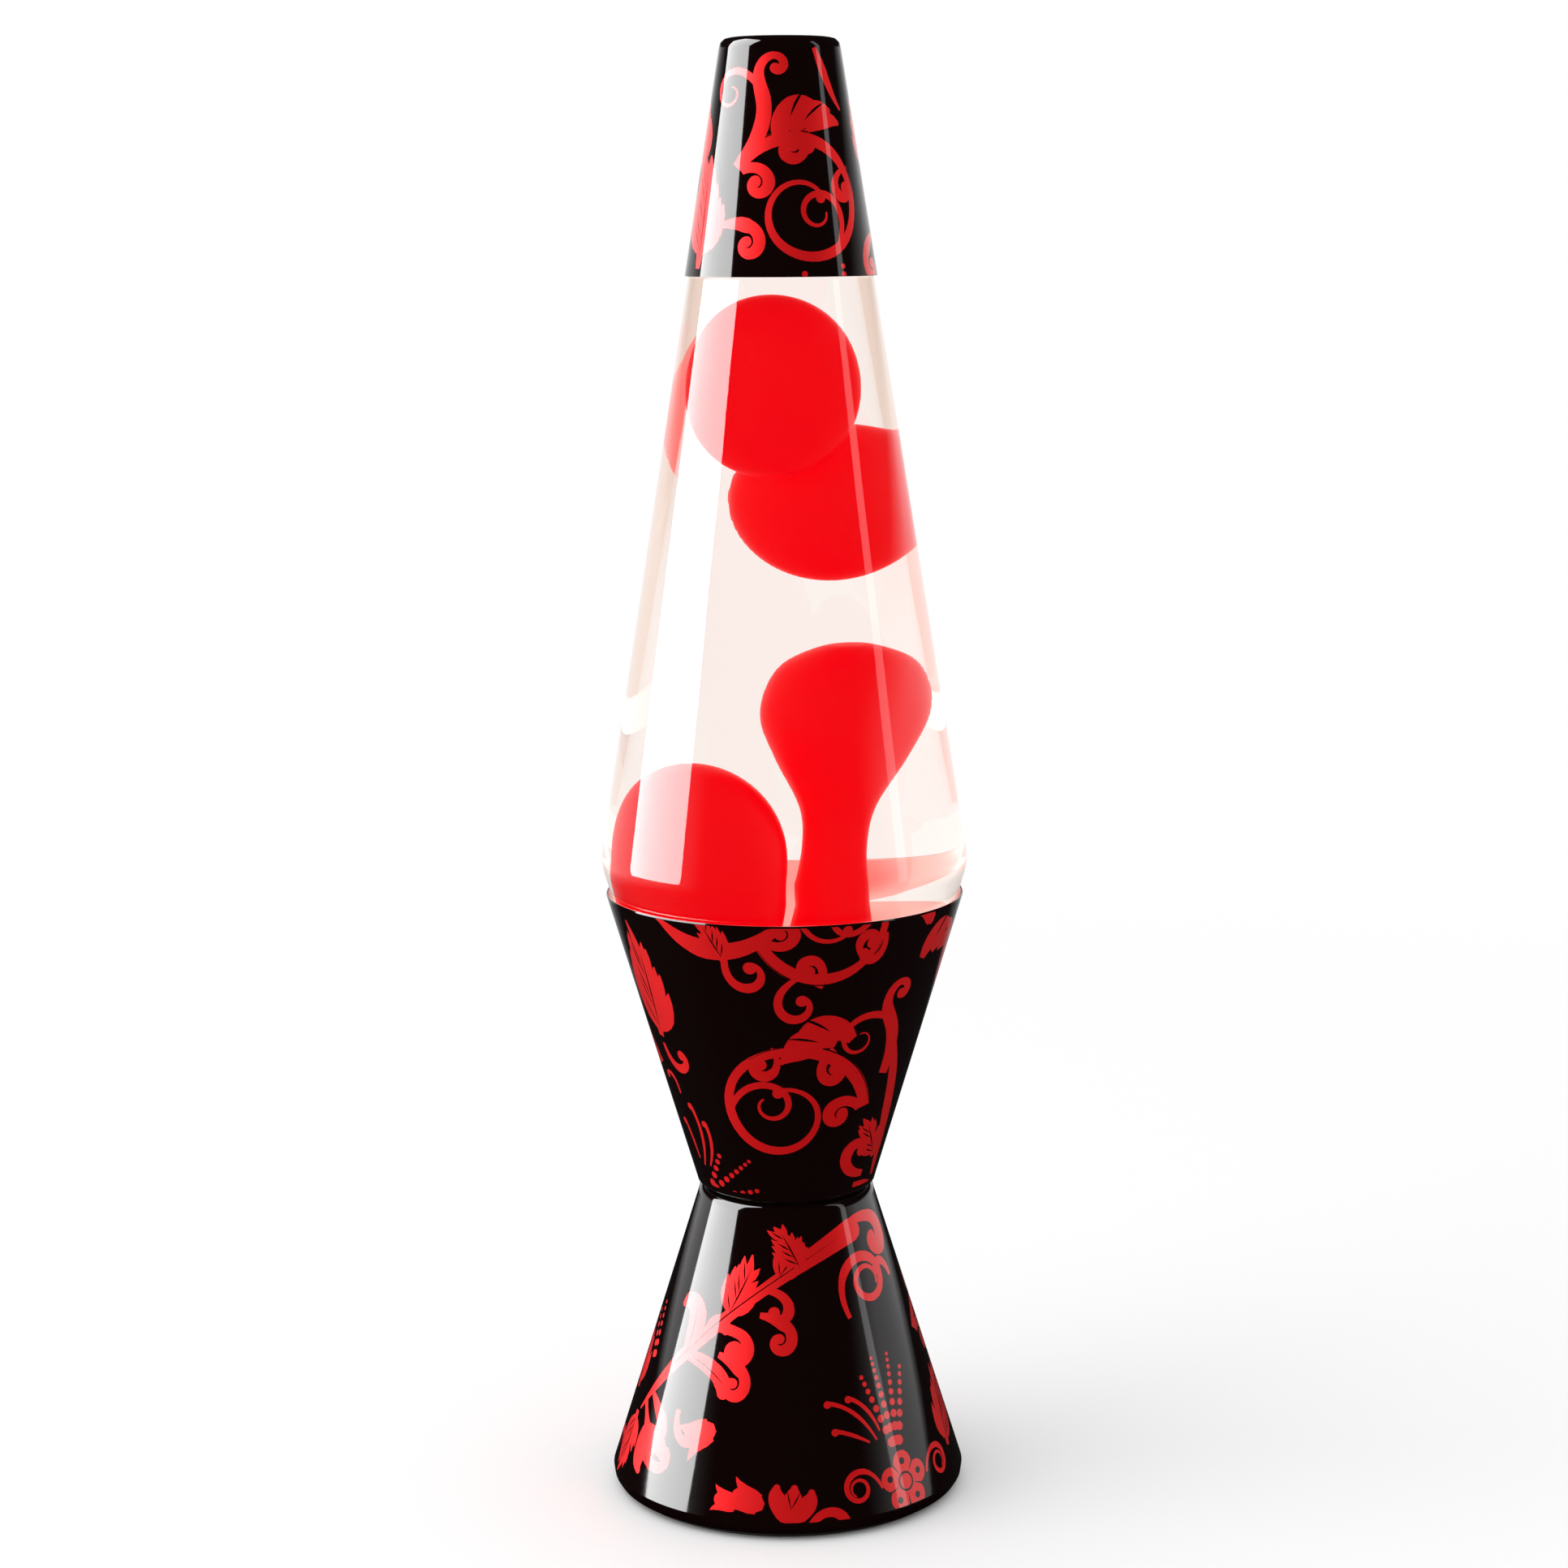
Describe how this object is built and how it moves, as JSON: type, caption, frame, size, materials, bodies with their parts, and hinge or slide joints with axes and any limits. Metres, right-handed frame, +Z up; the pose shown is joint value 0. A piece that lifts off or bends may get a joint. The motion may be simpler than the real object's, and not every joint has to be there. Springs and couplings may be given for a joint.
{
  "type": "lava lamp",
  "caption": "Hourglass table lamp: two cones clamped at the waist hold a tapered bottle of liquid and wax under a spun cap, warmed by a small screw-in bulb.",
  "frame": {"origin": "centre of the underside, on the surface the lamp stands on", "axes": "+Z up along the lamp's axis, -Y towards the front, +Y towards the cord inlet at the rear"},
  "size_m": [0.0926, 0.0926, 0.3683],
  "materials": {
    "black_enamel": "gloss black enamel on spun aluminium",
    "red_lacquer": "metallic red lacquer printed as scrollwork under a clear coat",
    "bare_aluminium": "spun aluminium, unpainted inside",
    "bottle_glass": "clear moulded glass, polished",
    "clear_liquid": "clear liquid",
    "red_wax": "molten wax, satin, slightly translucent at its edges",
    "coil_wire": "bright spring wire",
    "tinned_steel": "tinned sheet, lacquered",
    "closure_liner": "soft moulded liner",
    "brass_hardware": "turned brass, slightly dull",
    "plated_steel": "zinc plated",
    "black_plastic": "moulded, fine grained",
    "foot_rubber": "soft moulded rubber",
    "porcelain": "glazed porcelain",
    "bulb_glass": "thin clear glass",
    "bulb_aluminium": "rolled sheet",
    "black_glass": "fused glass insulator",
    "contact_solder": "domed solder",
    "filament_wire": "coiled tungsten wire",
    "lead_wire": "drawn nickel wire"
  },
  "bodies": {
    "base": {"upper_cone": "black_enamel", "lower_cone": "black_enamel", "waist_collar": "brass_hardware", "waist_nut": "brass_hardware", "base_plate": "black_plastic", "foot_ring": "foot_rubber", "cord_grommet": "foot_rubber", "socket_body": "porcelain", "socket_shell": "brass_hardware", "socket_contact": "brass_hardware", "terminal_screw_left": "brass_hardware", "terminal_screw_right": "plated_steel", "stem_pipe": "plated_steel", "stem_washer": "plated_steel", "stem_nut_upper": "plated_steel", "stem_nut_lower": "plated_steel", "socket_lock_nut": "plated_steel"},
    "globe": {"globe_glass": "bottle_glass", "crown_closure": "tinned_steel", "crown_liner": "closure_liner", "liquid": "clear_liquid", "wax_pool": "red_wax", "heating_coil": "coil_wire"},
    "cap": {"top_cap": "black_enamel"},
    "upper_wax": {"wax_blob_upper": "red_wax"},
    "lower_wax": {"wax_blob_lower": "red_wax"},
    "bulb_tip": {"bulb_contact": "contact_solder"},
    "bulb": {"bulb_glass": "bulb_glass", "bulb_shell": "bulb_aluminium", "bulb_insulator": "black_glass", "bulb_stem": "bulb_glass", "bulb_filament": "filament_wire", "bulb_lead_left": "lead_wire", "bulb_lead_right": "lead_wire"}
  },
  "joints": [
    {"name": "globe_lift", "type": "slide", "parent": "base", "child": "globe", "axis": [0, 0, 1], "range_m": [0, 0.05]},
    {"name": "cap_lift", "type": "slide", "parent": "globe", "child": "cap", "axis": [0, 0, 1], "range_m": [0, 0.045]},
    {"name": "upper_wax_drift", "type": "slide", "parent": "globe", "child": "upper_wax", "axis": [0.0797, 0.2391, 0.9677], "range_m": [0, 0.011], "deforming": ["liquid"]},
    {"name": "lower_wax_drift", "type": "slide", "parent": "globe", "child": "lower_wax", "axis": [0, 0, 1], "range_m": [-0.012, 0], "deforming": ["liquid"]},
    {"name": "bulb_rise", "type": "slide", "parent": "base", "child": "bulb_tip", "axis": [0, 0, 1], "range_m": [0, 0.0099]},
    {"name": "bulb_turn", "type": "hinge", "parent": "bulb_tip", "child": "bulb", "pos_m": [0, 0, 0.0405], "axis": [0, 0, 1], "range_deg": [0, 1260]}
  ],
  "couplings": [
    {"joint": "bulb_rise", "follows": "bulb_turn", "m_per_rad": 0.000449}
  ]
}
